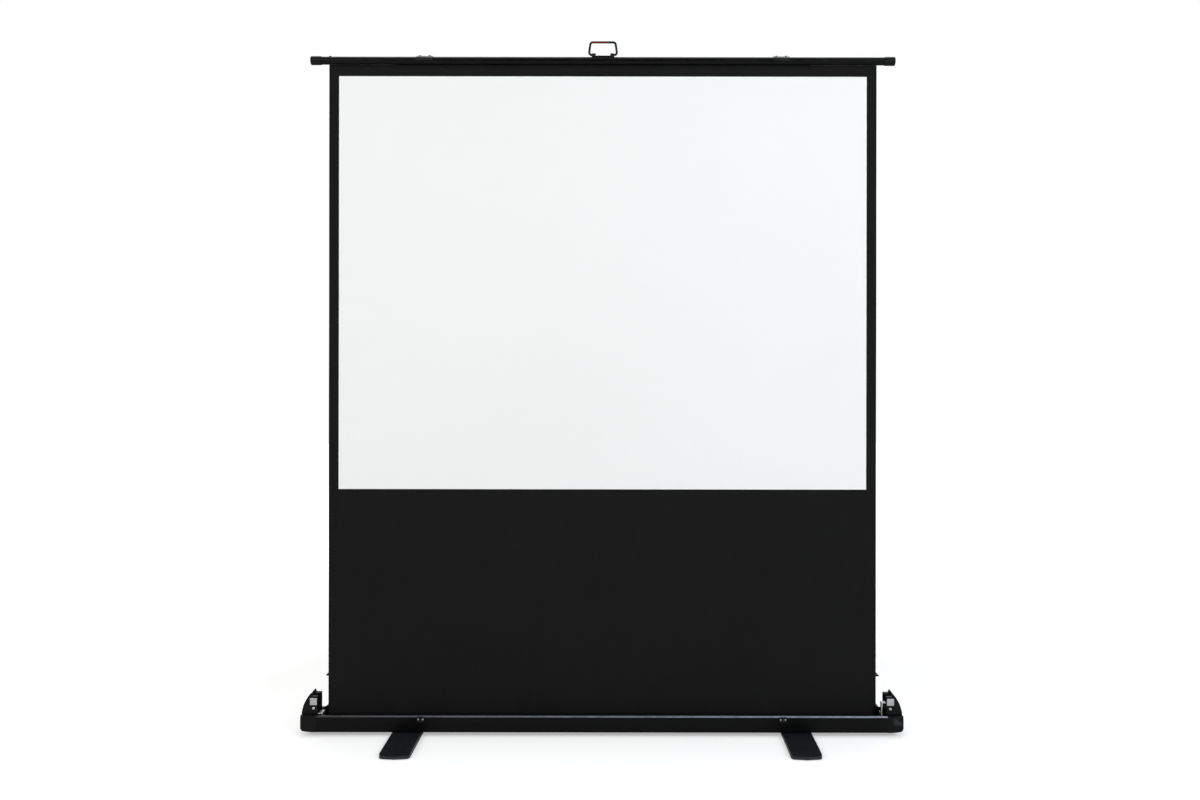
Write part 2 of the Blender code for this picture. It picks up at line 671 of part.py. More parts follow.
def channel_mesh(length, centre_x):
    """The rail section of both tracks: a C open to the back, about its pivot line."""
    high = TRACK_HEIGHT / 2
    inner = high - TRACK_WALL
    mouth = inner - TRACK_LIP
    outline = [(0, -high), (TRACK_DEPTH, -high), (TRACK_DEPTH, -mouth), (TRACK_DEPTH - TRACK_WALL, -mouth),
               (TRACK_DEPTH - TRACK_WALL, -inner), (TRACK_WALL, -inner), (TRACK_WALL, inner),
               (TRACK_DEPTH - TRACK_WALL, inner), (TRACK_DEPTH - TRACK_WALL, mouth), (TRACK_DEPTH, mouth),
               (TRACK_DEPTH, high), (0, high)]
    return plate_mesh(outline, length, "YZ", centre=(centre_x, 0, 0))


def block_on_pin(name, finish, place, layer_back, body):
    """A block that runs inside a track, with the boss and pin that carry an arm."""
    depth = TRACK_DEPTH - 2 * TRACK_WALL - 2 * SLIDE
    height = TRACK_HEIGHT - 2 * TRACK_WALL - 2 * SLIDE
    middle = TRACK_FRONT + TRACK_WALL + SLIDE + depth / 2
    made = put(name, block_mesh((BLOCK_LENGTH, depth, height)), finish, (place[0], middle, place[1]), body)
    shoulder = layer_back - ARM_THICKNESS - SEAT - middle
    grip = layer_back + SEAT - middle
    end = grip + RIVET_REAR_RISE
    profile = [(0, end), (RIVET_HEAD, end), (RIVET_HEAD, grip), (RIVET_RADIUS, grip),
               (RIVET_RADIUS, shoulder), (BLOCK_BOSS, shoulder), (BLOCK_BOSS, 0), (0, 0)]
    return boolean(made, turned_mesh(profile, "Y"), "UNION")


def build_scissor():
    """Three crossed stages of arms with their shoulder rivets, blocks and tracks."""
    reach = ARM_PITCH / 2
    radius = ARM_WIDTH / 2
    outline = arc_points((reach, 0), radius, -90, 90, 8) + arc_points((-reach, 0), radius, 90, 270, 8)
    hole = RIVET_RADIUS + RUNNING
    holes = [ring_points(hole, (x, 0)) for x in (-reach, 0, reach)]
    head_front = ARM_A_FRONT - SEAT
    head_back = ARM_B_BACK + SEAT
    middle = (head_front + head_back) / 2
    rear = head_back - middle
    front = head_front - middle
    collar_back = ARM_B_FRONT - SEAT - middle
    collar_front = ARM_A_BACK + SEAT - middle
    rivet = [(0, rear + RIVET_REAR_RISE), (RIVET_HEAD * 0.7, rear + RIVET_REAR_RISE),
             (RIVET_HEAD, rear + RIVET_REAR_RISE * 0.4), (RIVET_HEAD, rear), (RIVET_RADIUS, rear),
             (RIVET_RADIUS, collar_back), (RIVET_COLLAR, collar_back), (RIVET_COLLAR, collar_front),
             (RIVET_RADIUS, collar_front), (RIVET_RADIUS, front), (RIVET_HEAD, front),
             (RIVET_HEAD, front - RIVET_FRONT_RISE), (0, front - RIVET_FRONT_RISE)]

    def level(stage):
        return LOWER_PIVOT_Z + STAGE_RISE * stage

    def add_rivet(name, body, x, z):
        put(name, turned_mesh(rivet, "Y"), ZINC_STEEL, (x, middle, z), body)

    parent = None
    for stage in range(1, STAGES + 1):
        low = level(stage - 1)
        high = level(stage)
        centre_z = (low + high) / 2
        arm_a = "arm_a%d" % stage
        arm_b = "arm_b%d" % stage
        pivot(arm_a, (PIVOT_X, ARM_A_Y, low), parent)
        put(arm_a, plate_mesh(outline, ARM_THICKNESS, "XZ", holes), BLACK_STEEL,
            (0, ARM_A_Y, centre_z), arm_a, (0, -ARM_ANGLE, 0))
        pivot(arm_b, (0, ARM_B_Y, centre_z), arm_a)
        put(arm_b, plate_mesh(outline, ARM_THICKNESS, "XZ", holes), BLACK_STEEL,
            (0, ARM_B_Y, centre_z), arm_b, (0, ARM_ANGLE, 0))
        add_rivet("rivet_middle_%d" % stage, arm_a, 0, centre_z)
        if stage < STAGES:
            add_rivet("rivet_right_%d" % stage, arm_a, SLIDER_X, high)
            add_rivet("rivet_left_%d" % stage, arm_b, PIVOT_X, high)
        parent = arm_b
    pivot("base_slider", (SLIDER_X, ARM_B_Y, LOWER_PIVOT_Z), "arm_b1")
    pivot("bar_slider", (SLIDER_X, ARM_A_Y, UPPER_PIVOT_Z), "arm_a3")
    pivot("bar", (PIVOT_X, ARM_B_Y, UPPER_PIVOT_Z), "arm_b3")
    length = TRACK_RIGHT - TRACK_LEFT
    centre_x = (TRACK_LEFT + TRACK_RIGHT) / 2
    put("base_track", channel_mesh(length, centre_x), ALUMINIUM, (0, TRACK_FRONT, LOWER_PIVOT_Z))
    put("bar_rail", channel_mesh(2 * TRACK_RIGHT, 0), BLACK_PAINT, (0, TRACK_FRONT, UPPER_PIVOT_Z), "bar")
    block_on_pin("lower_pivot_block", BLACK_PLASTIC, (PIVOT_X, LOWER_PIVOT_Z), ARM_A_BACK, None)
    block_on_pin("base_slider", WHITE_NYLON, (SLIDER_X, LOWER_PIVOT_Z), ARM_B_BACK, "base_slider")
    block_on_pin("upper_pivot_block", BLACK_PLASTIC, (PIVOT_X, UPPER_PIVOT_Z), ARM_B_BACK, "bar")
    block_on_pin("bar_slider", WHITE_NYLON, (SLIDER_X, UPPER_PIVOT_Z), ARM_A_BACK, "bar_slider")


def add_screw(made, across, top, wall):
    """Joins a screw, headed on top, to the wall that it goes through."""
    screw = head_mesh(BAR_SCREW_HEAD, BAR_SCREW_RISE, "up", wall / 2)
    screw.transform(Matrix.Translation((across, 0, top)))
    return boolean(made, screw, "UNION")


def build_bar():
    """The top bar, its end plugs, its clips to the rail and its screws."""
    tube_length = BAR_LENGTH - 2 * (BAR_PLUG_END + SEAT)
    tube = tube_mesh(BAR_RADIUS, BAR_RADIUS - BAR_WALL, tube_length, "X", FINE_ROUND)
    bar = put("top_bar", tube, BLACK_PAINT, (0, BAR_Y, BAR_HEIGHT), "bar")
    add_screw(bar, -SHEET_SCREW_OFFSET, BAR_RADIUS, BAR_WALL)
    inner = BAR_RADIUS + SEAT
    outer = inner + BAR_PLUG_SKIN
    for side, word in ((-1, "left"), (1, "right")):
        profile = [(0, BAR_PLUG_END), (outer * 0.8, BAR_PLUG_END), (outer, BAR_PLUG_END * 0.3),
                   (outer, BAR_PLUG_END - BAR_PLUG_LENGTH), (inner, BAR_PLUG_END - BAR_PLUG_LENGTH),
                   (inner, 0), (0, 0)]
        mesh = turned_mesh(profile, "X", FINE_ROUND)
        turn = (0, 0, pi if side < 0 else 0)
        put("bar_plug_" + word, mesh, BLACK_PLASTIC,
            (side * (BAR_LENGTH / 2 - BAR_PLUG_END), BAR_Y, BAR_HEIGHT), "bar", turn)
    near = BAR_RADIUS + SEAT
    far = near + CLIP_THICKNESS
    tail = -PIVOT_DROP - CLIP_TAIL
    outline = (arc_points((0, 0), far, 180 + CLIP_FRONT_ANGLE, 0, 12) + [(far, tail), (near, tail)]
               + arc_points((0, 0), near, 0, 180 + CLIP_FRONT_ANGLE, 12))
    for side, word in ((-1, "left"), (1, "right")):
        mesh = plate_mesh(outline, CLIP_WIDTH, "YZ")
        clip = put("rail_clip_" + word, mesh, BLACK_STEEL, (side * CLIP_SPREAD, BAR_Y, BAR_HEIGHT), "bar")
        for end in (-1, 1):
            add_screw(clip, end * BAR_SCREW_SPACING / 2, far, CLIP_THICKNESS)


def build_handle():
    """The hinged wire handle in its plate on top of the bar."""
    knuckle = HANDLE_WIRE + RUNNING + HANDLE_KNUCKLE_WALL
    bottom = -(HANDLE_WIRE + RUNNING + HANDLE_PLATE_THICKNESS)
    half = HANDLE_PLATE_WIDTH / 2
    axis = (0, BAR_Y, HANDLE_AXIS_Z)
    plate = put("handle_plate",
                block_mesh((HANDLE_PLATE_LENGTH - HANDLE_KNUCKLE_LENGTH, HANDLE_PLATE_WIDTH,
                            HANDLE_PLATE_THICKNESS), (0, 0, bottom + HANDLE_PLATE_THICKNESS / 2)),
                BLACK_STEEL, axis, "bar")
    for end in (-1, 1):
        add_screw(plate, end * HANDLE_SCREW_SPACING / 2, bottom + HANDLE_PLATE_THICKNESS, HANDLE_PLATE_THICKNESS)
    outline = [(-half, bottom), (half, bottom), (half, bottom + HANDLE_PLATE_THICKNESS),
               *arc_points((0, 0), knuckle, -20, 200, 10), (-half, bottom + HANDLE_PLATE_THICKNESS)]
    hole = ring_points(HANDLE_WIRE + RUNNING)
    for side in (-1, 1):
        centre = (side * (HANDLE_PLATE_LENGTH - HANDLE_KNUCKLE_LENGTH) / 2, 0, 0)
        boolean(plate, plate_mesh(outline, HANDLE_KNUCKLE_LENGTH, "YZ", [hole], centre), "UNION")
    start = HANDLE_PLATE_LENGTH / 2 - HANDLE_KNUCKLE_LENGTH + SLIDE
    wide = HANDLE_WIDTH / 2
    narrow = HANDLE_TOP_WIDTH / 2
    half_path = rounded([(start, 0.0), (wide, 0.0), (narrow, HANDLE_REACH), (0.0, HANDLE_REACH)],
                        HANDLE_BEND, 4)[:-1]
    path = half_path + [(-x, z) for x, z in reversed(half_path)]
    pivot("handle", axis, "bar")
    mesh = wire_mesh([(x, 0.0, z) for x, z in path], HANDLE_WIRE, 2)
    put("pull_handle", mesh, BLACK_STEEL, axis, "handle")


def build_sheet():
    """The black-backed sheet, its white projection layer and the bare part of the roll."""
    top = BAR_HEIGHT - BAR_RADIUS - SEAT
    height = top - ROLLER_HEIGHT
    put("screen_fabric", block_mesh((SHEET_WIDTH, SHEET_THICKNESS, height)), BLACK_CLOTH,
        (0, SHEET_Y, ROLLER_HEIGHT + height / 2), "bar")
    layer_y = SHEET_FRONT - SEAT - VIEW_LAYER / 2
    put("projection_surface", block_mesh((VIEW_WIDTH, VIEW_LAYER, VIEW_HEIGHT)), MATT_WHITE,
        (0, layer_y, VIEW_TOP - VIEW_HEIGHT / 2), "bar")


def bracket_outline(rise, tab):
    """A roller bracket seen from the side, with an optional taller tab at its front."""
    half = BRACKET_WIDTH / 2
    foot = CASE_FLOOR + SEAT - ROLLER_HEIGHT
    outline = [(-half, foot), (half, foot), (half, rise)]
    if tab > rise:
        outline += [(-half + BRACKET_TAB_WIDTH, rise), (-half + BRACKET_TAB_WIDTH, tab)]
    return outline + [(-half, max(rise, tab))]


def build_roller():
    """The spring roller between its brackets; the right one holds the spring's fixed arbor."""
    axis = (0, ROLLER_Y, ROLLER_HEIGHT)
    pivot("roller", axis)
    length = SHEET_WIDTH + 2 * ROLLER_OVERHANG
    put("roller_tube", tube_mesh(ROLLER_RADIUS, ROLLER_RADIUS - ROLLER_WALL, length, "X"),
        ALUMINIUM, axis, "roller")
    put("roller_wrap", tube_mesh(WRAP_RADIUS, ROLLER_RADIUS + SEAT, SHEET_WIDTH, "X", FINE_ROUND),
        BLACK_CLOTH, axis, "roller")
    bore = ROLLER_RADIUS - ROLLER_WALL - SEAT
    face = SEAT + PLUG_FLANGE
    bracket_x = length / 2 + face + SEAT + BRACKET_THICKNESS / 2
    stub = face + 2 * SEAT + BRACKET_THICKNESS + PIN_STICK_OUT
    left = turned_mesh([(0, stub), (PIN_RADIUS, stub), (PIN_RADIUS, face), (ROLLER_RADIUS, face),
                        (ROLLER_RADIUS, SEAT), (bore, SEAT), (bore, -PLUG_DEPTH), (0, -PLUG_DEPTH)], "X")
    put("roller_plug_left", left, BLACK_PLASTIC, (-length / 2, ROLLER_Y, ROLLER_HEIGHT), "roller", (0, 0, pi))
    arbor_hole = ARBOR_RADIUS + RUNNING
    right = turned_mesh([(ROLLER_RADIUS, face), (ROLLER_RADIUS, SEAT), (bore, SEAT), (bore, -PLUG_DEPTH),
                         (arbor_hole, -PLUG_DEPTH), (arbor_hole, face)], "X", closed=True)
    put("roller_plug_right", right, BLACK_PLASTIC, (length / 2, ROLLER_Y, ROLLER_HEIGHT), "roller")
    foot_z = CASE_FLOOR + SEAT - ROLLER_HEIGHT + BRACKET_THICKNESS / 2
    foot_length = CASE_HALF - bracket_x
    for side, word, tab in ((-1, "left", 0.0), (1, "right", BRACKET_TAB_RISE)):
        holes = [ring_points(PIN_RADIUS + RUNNING)] if side < 0 else []
        mesh = plate_mesh(bracket_outline(BRACKET_RISE, tab), BRACKET_THICKNESS, "YZ", holes)
        bracket = put("roller_bracket_" + word, mesh, ZINC_STEEL, (side * bracket_x, ROLLER_Y, ROLLER_HEIGHT))
        foot = block_mesh((foot_length, BRACKET_WIDTH, BRACKET_THICKNESS), (side * foot_length / 2, 0, foot_z))
        boolean(bracket, foot, "UNION")
        top = max(tab, BRACKET_RISE) - BRACKET_THICKNESS / 2
        depth = BRACKET_TAB_WIDTH if tab else BRACKET_WIDTH
        shelf_y = (depth - BRACKET_WIDTH) / 2
        shelf = block_mesh((BRACKET_SHELF, depth, BRACKET_THICKNESS), (side * BRACKET_SHELF / 2, shelf_y, top))
        boolean(bracket, shelf, "UNION")
        if side > 0:
            arbor_x = BRACKET_THICKNESS / 2 + PIN_STICK_OUT - ARBOR_LENGTH / 2
            boolean(bracket, rod_mesh(ARBOR_RADIUS, ARBOR_LENGTH, "X", ROUND, (arbor_x, 0, 0)), "UNION")


def lid_knuckle_outline():
    """A rolled lid knuckle with its leaf against the inside of the rear flange."""
    outer = HINGE_KNUCKLE - LID_WALL - SEAT
    inner = outer - HINGE_LEAF
    first = degrees(acos(inner / HINGE_KNUCKLE))
    last = degrees(acos(outer / HINGE_KNUCKLE)) + 360
    top = HINGE_KNUCKLE + 2 * HINGE_LEAF
    return [(outer, top), (inner, top)] + arc_points((0, 0), HINGE_KNUCKLE, first, last, 12)


def case_knuckle_outline():
    """A rolled case knuckle with its leaf against the inside of the rear wall."""
    inner = HINGE_KNUCKLE - HINGE_LEAF
    first = -degrees(acos(inner / HINGE_KNUCKLE))
    leaf = [(HINGE_KNUCKLE, -HINGE_LEAF_DROP), (inner, -HINGE_LEAF_DROP)]
    return leaf + arc_points((0, 0), HINGE_KNUCKLE, first, -360, 12)


def build_lid():
    """The hinged lid, standing open behind the sheet, with its hinges and latches."""
    pivot("lid", (0, HINGE_Y, HINGE_HEIGHT), None, -radians(LID_OPEN_ANGLE))
    front = HINGE_KNUCKLE - LID_DEPTH
    tip = LID_FLANGE - LID_FRONT_FLANGE
    section = [(HINGE_KNUCKLE, HINGE_KNUCKLE + SEAT), (HINGE_KNUCKLE, LID_FLANGE), (front, LID_FLANGE),
               (front, tip), (front + LID_HEM, tip)]
    bends = rounded(section[:4], LID_CORNER, 2)[:-1]
    hem = rounded(section[2:], LID_HEM_CORNER, 2)[1:]
    panel = put("lid_panel", folded_mesh(bends + hem, LID_LENGTH), BLACK_PAINT, (0, 0, 0), "lid", local=True)
    thicken(panel, LID_WALL, 1.0)
    loose_hole = ring_points(HINGE_PIN + RUNNING, steps=SMALL_ROUND)
    step = HINGE_LENGTH * 3 / 4 + SLIDE
    length = 2 * HINGE_LENGTH + 2 * SLIDE
    outer = HINGE_KNUCKLE - LID_WALL - SEAT
    low = HINGE_KNUCKLE + HINGE_LEAF
    high = LID_FLANGE - LID_WALL - LID_CORNER
    leaf_size = (length, HINGE_LEAF, high - low)
    leaf_centre = (0, outer - HINGE_LEAF / 2, (low + high) / 2)
    for side, word in ((-1, "left"), (1, "right")):
        across = side * HINGE_SPREAD
        fixed = put("case_hinge_" + word, plate_mesh(case_knuckle_outline(), HINGE_LENGTH, "YZ"),
                    ZINC_STEEL, (across, HINGE_Y, HINGE_HEIGHT))
        boolean(fixed, rod_mesh(HINGE_PIN, length + 2 * SLIDE, "X", SMALL_ROUND), "UNION")
        leaf = put("lid_hinge_" + word, block_mesh(leaf_size, leaf_centre), ZINC_STEEL,
                   (across, 0, 0), "lid", local=True)
        for end in (-1, 1):
            knuckle = plate_mesh(lid_knuckle_outline(), HINGE_LENGTH / 2, "YZ", [loose_hole], (end * step, 0, 0))
            boolean(leaf, knuckle, "UNION")
    for side, word in ((-1, "left"), (1, "right")):
        build_latch(word, side * LATCH_SPREAD, front, tip)


def build_latch(word, across, front, tip):
    """One lid latch: a bracket on the front flange and a lever on its own pin."""
    face = front - SEAT
    eye = (across, face - LATCH_RISE, tip + LATCH_SETBACK)
    base_size = (LATCH_WIDTH, LATCH_PLATE, LATCH_LENGTH)
    centre = (0, LATCH_RISE - LATCH_PLATE / 2, LATCH_BASE_SHIFT)
    base = put("latch_base_" + word, block_mesh(base_size, centre), ZINC_STEEL, eye, "lid", local=True)
    ear_half = LATCH_EYE + LATCH_PLATE
    ear = [(LATCH_RISE - LATCH_PLATE / 2, -ear_half), (LATCH_RISE - LATCH_PLATE / 2, ear_half),
           *arc_points((0, 0), ear_half, 90, 270, 8)]
    hole = ring_points(LATCH_PIN + RUNNING, steps=SMALL_ROUND)
    for end in (-1, 1):
        ear_x = end * (LATCH_WIDTH - LATCH_PLATE) / 2
        boolean(base, plate_mesh(ear, LATCH_PLATE, "YZ", [hole], (ear_x, 0, 0)), "UNION")
    inside = LATCH_WIDTH / 2 - LATCH_PLATE - SLIDE
    pin_end = LATCH_WIDTH / 2 + SLIDE
    profile = [(0, pin_end), (LATCH_PIN, pin_end), (LATCH_PIN, inside), (LATCH_EYE, inside),
               (LATCH_EYE, -inside), (LATCH_PIN, -inside), (LATCH_PIN, -pin_end), (0, -pin_end)]
    body = "latch_" + word
    empty = pivot(body, eye)
    empty.parent = PIVOTS["lid"]
    lever = put("lid_latch_" + word, turned_mesh(profile, "X", SMALL_ROUND), BLACK_STEEL, (0, 0, 0), body, local=True)
    outline = [(-LATCH_EYE, 0.0), (-LATCH_EYE, -LATCH_LEVER + LATCH_HOOK), (-LATCH_EYE - LATCH_HOOK, -LATCH_LEVER),
               (-LATCH_EYE - LATCH_HOOK + LATCH_PLATE, -LATCH_LEVER),
               (-LATCH_EYE + LATCH_PLATE, -LATCH_LEVER + LATCH_HOOK), (-LATCH_EYE + LATCH_PLATE, 0.0)]
    boolean(lever, plate_mesh(outline, 2 * inside, "YZ"), "UNION")


build_case()
build_keepers()
build_feet()
build_scissor()
build_bar()
build_handle()
build_sheet()
build_roller()
build_lid()
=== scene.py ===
import math

import bmesh
import bpy
from mathutils import Matrix, Vector


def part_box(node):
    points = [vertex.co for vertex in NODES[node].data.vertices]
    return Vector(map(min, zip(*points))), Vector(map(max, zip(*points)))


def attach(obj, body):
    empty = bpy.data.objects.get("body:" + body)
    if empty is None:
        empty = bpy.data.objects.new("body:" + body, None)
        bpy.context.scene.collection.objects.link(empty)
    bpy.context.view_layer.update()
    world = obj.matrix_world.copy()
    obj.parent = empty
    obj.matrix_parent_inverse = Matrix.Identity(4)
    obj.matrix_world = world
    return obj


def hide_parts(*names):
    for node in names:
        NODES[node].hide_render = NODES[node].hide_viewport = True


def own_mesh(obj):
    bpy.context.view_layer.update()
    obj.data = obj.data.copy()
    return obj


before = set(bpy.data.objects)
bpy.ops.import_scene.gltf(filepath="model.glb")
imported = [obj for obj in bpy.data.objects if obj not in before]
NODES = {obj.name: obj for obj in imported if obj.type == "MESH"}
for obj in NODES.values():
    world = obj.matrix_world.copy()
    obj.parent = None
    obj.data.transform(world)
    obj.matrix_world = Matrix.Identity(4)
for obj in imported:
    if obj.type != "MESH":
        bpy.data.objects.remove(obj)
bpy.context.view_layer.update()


# The Mix node's sockets, which go by the same names for numbers and for colours
MIX_SHARE = 0
MIX_FIRST_NUMBER = 2
MIX_SECOND_NUMBER = 3
MIX_COLOURS = (6, 7)
MIXED_NUMBER = 0
MIXED_COLOUR = 2

# Node helpers
BEVEL_SAMPLES = 4
DOT_AT_EDGE = 0.72
DOT_ON_FLAT = 0.985
PATCHES_START = 0.3
PATCHES_END = 0.7


def add_node(tree, kind, **settings):
    node = tree.nodes.new(kind)
    for name, value in settings.items():
        setattr(node, name, value)
    return node


def add_range(tree, low, high, start, end, **settings):
    """A node that maps its value's stretch from start to end onto low to high."""
    node = add_node(tree, "ShaderNodeMapRange", **settings)
    node.inputs["From Min"].default_value = start
    node.inputs["From Max"].default_value = end
    node.inputs["To Min"].default_value = low
    node.inputs["To Max"].default_value = high
    return node


class Shader:
    """A Principled material under construction, with short calls for its nodes.

    Its textures are placed by the metres of the object at rest, so their scales are per metre.
    """

    def __init__(self, name, colour, roughness, metallic=0.0, specular=0.5):
        self.material = bpy.data.materials.new(name)
        self.material.use_nodes = True
        self.material.diffuse_color = (*colour, 1.0)
        self.tree = self.material.node_tree
        self.shader = self.tree.nodes["Principled BSDF"]
        self.shader.inputs["Base Color"].default_value = (*colour, 1.0)
        self.shader.inputs["Roughness"].default_value = roughness
        self.shader.inputs["Metallic"].default_value = metallic
        self.shader.inputs["Specular IOR Level"].default_value = specular
        self.place = self.add("ShaderNodeTexCoord").outputs["Object"]
        self.colour = colour
        self.bumps = []

    def add(self, kind, **settings):
        return add_node(self.tree, kind, **settings)

    def feed(self, value, socket):
        """Links a socket to another one, or sets it to a number."""
        if isinstance(value, bpy.types.NodeSocket):
            self.tree.links.new(value, socket)
        elif value is not None:
            socket.default_value = value

    def tint(self, factor):
        return tuple(min(1.0, part * factor) for part in self.colour)

    def along(self, axis):
        """The place along X, Y or Z."""
        node = self.add("ShaderNodeSeparateXYZ")
        self.feed(self.place, node.inputs["Vector"])
        return node.outputs[axis]

    def stretched(self, scale):
        node = self.add("ShaderNodeMapping")
        self.feed(self.place, node.inputs["Vector"])
        node.inputs["Scale"].default_value = scale
        return node.outputs["Vector"]

    def noise(self, scale, detail, rough=0.5, stretch=None):
        """Soft noise: its scale, its octaves and how strong the finer ones are."""
        node = self.add("ShaderNodeTexNoise")
        self.feed(self.stretched(stretch) if stretch else self.place, node.inputs["Vector"])
        node.inputs["Scale"].default_value = scale
        node.inputs["Detail"].default_value = detail
        node.inputs["Roughness"].default_value = rough
        return node.outputs["Fac"]

    def cells(self, scale):
        node = self.add("ShaderNodeTexVoronoi")
        self.feed(self.place, node.inputs["Vector"])
        node.inputs["Scale"].default_value = scale
        return node.outputs["Distance"]

    def wave(self, direction, scale, distortion):
        node = self.add("ShaderNodeTexWave", bands_direction=direction)
        self.feed(self.place, node.inputs["Vector"])
        node.inputs["Scale"].default_value = scale
        node.inputs["Distortion"].default_value = distortion
        return node.outputs["Fac"]

    def math(self, operation, first, second=None):
        node = self.add("ShaderNodeMath", operation=operation)
        self.feed(first, node.inputs[0])
        self.feed(second, node.inputs[1])
        return node.outputs[0]

    def product(self, first, *others):
        for other in others:
            first = self.math("MULTIPLY", first, other)
        return first

    def between(self, value, low, high, start=0.0, end=1.0):
        node = add_range(self.tree, low, high, start, end)
        self.feed(value, node.inputs["Value"])
        return node.outputs["Result"]

    def blend(self, share, first, second):
        node = self.add("ShaderNodeMix", data_type="RGBA")
        self.feed(share, node.inputs[MIX_SHARE])
        for value, index in zip((first, second), MIX_COLOURS):
            colour = value if isinstance(value, bpy.types.NodeSocket) else (*value, 1.0)
            self.feed(colour, node.inputs[index])
        return node.outputs[MIXED_COLOUR]

    def patches(self, value, first, second):
        """Two colours in soft patches, where the value is low and where it is high."""
        return self.blend(self.between(value, 0.0, 1.0, PATCHES_START, PATCHES_END), first, second)

    def clouds(self, value, darker, lighter):
        """The base colour in soft patches, made darker and lighter by two factors."""
        return self.patches(value, self.tint(darker), self.tint(lighter))

    def edges(self, radius):
        """About 1 near the edges and corners of the piece, 0 on its flats."""
        bevel = self.add("ShaderNodeBevel", samples=BEVEL_SAMPLES)
        bevel.inputs["Radius"].default_value = radius
        geometry = self.add("ShaderNodeNewGeometry")
        dot = self.add("ShaderNodeVectorMath", operation="DOT_PRODUCT")
        self.feed(bevel.outputs["Normal"], dot.inputs[0])
        self.feed(geometry.outputs["Normal"], dot.inputs[1])
        return self.between(dot.outputs["Value"], 1.0, 0.0, DOT_AT_EDGE, DOT_ON_FLAT)

    def wear(self, radius, value, most, start, end):
        """How rubbed the edges are, from 0 to most, in patches of the value."""
        return self.product(self.edges(radius), self.between(value, 0.0, most, start, end))

    def bump(self, height, distance, strength):
        """Notes a bump, whose distance is the height in metres of its pattern's full range."""
        self.bumps.append((height, distance, strength))

    def set_colour(self, value):
        self.feed(value, self.shader.inputs["Base Color"])

    def set_roughness(self, value):
        self.feed(value, self.shader.inputs["Roughness"])

    def finished(self):
        """Chains the bumps and gives the material."""
        normal = None
        for height, distance, strength in self.bumps:
            node = self.add("ShaderNodeBump")
            node.inputs["Distance"].default_value = distance
            node.inputs["Strength"].default_value = strength
            self.feed(height, node.inputs["Height"])
            self.feed(normal, node.inputs["Normal"])
            normal = node.outputs["Normal"]
        self.feed(normal, self.shader.inputs["Normal"])
        return self.material


# The lip's painted highlight: a pale line along the top of the case's front, painted in place of the
# lamps' reflection
FRONT_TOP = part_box("case_shell")[1].z
LIP_LOW = FRONT_TOP - 0.0040
LIP_HIGH = FRONT_TOP - 0.0022
LIP_CEILING = FRONT_TOP + 0.002
LIP_FRONT = -0.030
LIP_HALF_LENGTH = 0.85
LIP_HIGHLIGHT_LEFT = (0.066, 0.067, 0.066)
LIP_HIGHLIGHT_RIGHT = (0.300, 0.325, 0.410)


def painted_lip_highlight(s, base):
    """The base with the painted highlight of the lip, a pale line that is brighter and bluer to the
    right.
    """
    up = s.between(s.along("Z"), 0.0, 1.0, LIP_LOW, LIP_HIGH)
    below = s.math("LESS_THAN", s.along("Z"), LIP_CEILING)
    ahead = s.math("LESS_THAN", s.along("Y"), LIP_FRONT)
    patchy = s.between(s.noise(40.0, 4.0, 0.6), 0.72, 1.0, start=0.35, end=0.6)
    across = s.between(s.along("X"), 0.0, 1.0, -LIP_HALF_LENGTH, LIP_HALF_LENGTH)
    # Painted highlight colours, from the left end of the lip to its right end
    highlight_colour = s.blend(across, LIP_HIGHLIGHT_LEFT, LIP_HIGHLIGHT_RIGHT)
    return s.blend(s.product(up, below, ahead, patchy), base, highlight_colour)


# The strip on the handle: where it starts and ends along X, and its depths below the handle's top
STRIP_LEFT = -0.034
STRIP_RIGHT = 0.018
STRIP_TOP_DEPTH = 0.0034
STRIP_BOTTOM_DEPTH = 0.008
STRIP_COLOUR = (0.160, 0.010, 0.012)


def handle_strip(s):
    """1 on the strip under the top of the handle, 0 elsewhere."""
    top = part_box("pull_handle")[1].z
    under = s.math("LESS_THAN", s.along("Z"), top - STRIP_TOP_DEPTH)
    above = s.math("GREATER_THAN", s.along("Z"), top - STRIP_BOTTOM_DEPTH)
    right_of = s.math("GREATER_THAN", s.along("X"), STRIP_LEFT)
    left_of = s.math("LESS_THAN", s.along("X"), STRIP_RIGHT)
    return s.product(under, above, right_of, left_of)


# The two rivets of each keeper, at a depth below the top of the case's front
KEEPER_RIVET_SPACING = 0.014
KEEPER_RIVET_RADIUS = 0.0027
KEEPER_RIVET_DEPTH = 0.009


def keeper_rivets(s):
    """1 on the rivets of both keepers, 0 elsewhere."""
    low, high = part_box("lid_keeper_right")
    keeper_x = (low.x + high.x) / 2
    from_keeper = s.math("ABSOLUTE", s.math("SUBTRACT", s.math("ABSOLUTE", s.along("X")), keeper_x))
    across = s.math("SUBTRACT", from_keeper, KEEPER_RIVET_SPACING / 2)
    rise = s.math("SUBTRACT", s.along("Z"), FRONT_TOP - KEEPER_RIVET_DEPTH)
    squares = s.math("ADD", s.product(across, across), s.product(rise, rise))
    return s.math("LESS_THAN", s.math("SQRT", squares), KEEPER_RIVET_RADIUS)


# Materials
def powder_paint():
    """Sprayed black paint, fine grain, greyer on rubbed edges, with a painted highlight along the
    front's top.
    """
    s = Shader("powder_paint", (0.0016, 0.0017, 0.0019), 0.36, specular=0.13)
    rubbed = (0.010, 0.010, 0.011)
    base = s.clouds(s.noise(5.0, 4.0, 0.6), 0.8, 1.25)
    worn = s.wear(0.0009, s.noise(55.0, 4.0, 0.65), most=0.55, start=0.5, end=0.72)
    # The colour carries the painted highlight along the top of the case's front
    s.set_colour(painted_lip_highlight(s, s.blend(worn, base, rubbed)))
    s.set_roughness(s.between(s.noise(34.0, 3.0), 0.30, 0.42, start=0.35, end=0.65))
    s.bump(s.noise(620.0, 1.0), distance=0.00010, strength=0.35)
    s.bump(s.noise(2300.0, 2.0), distance=0.00003, strength=0.4)
    return s.finished()


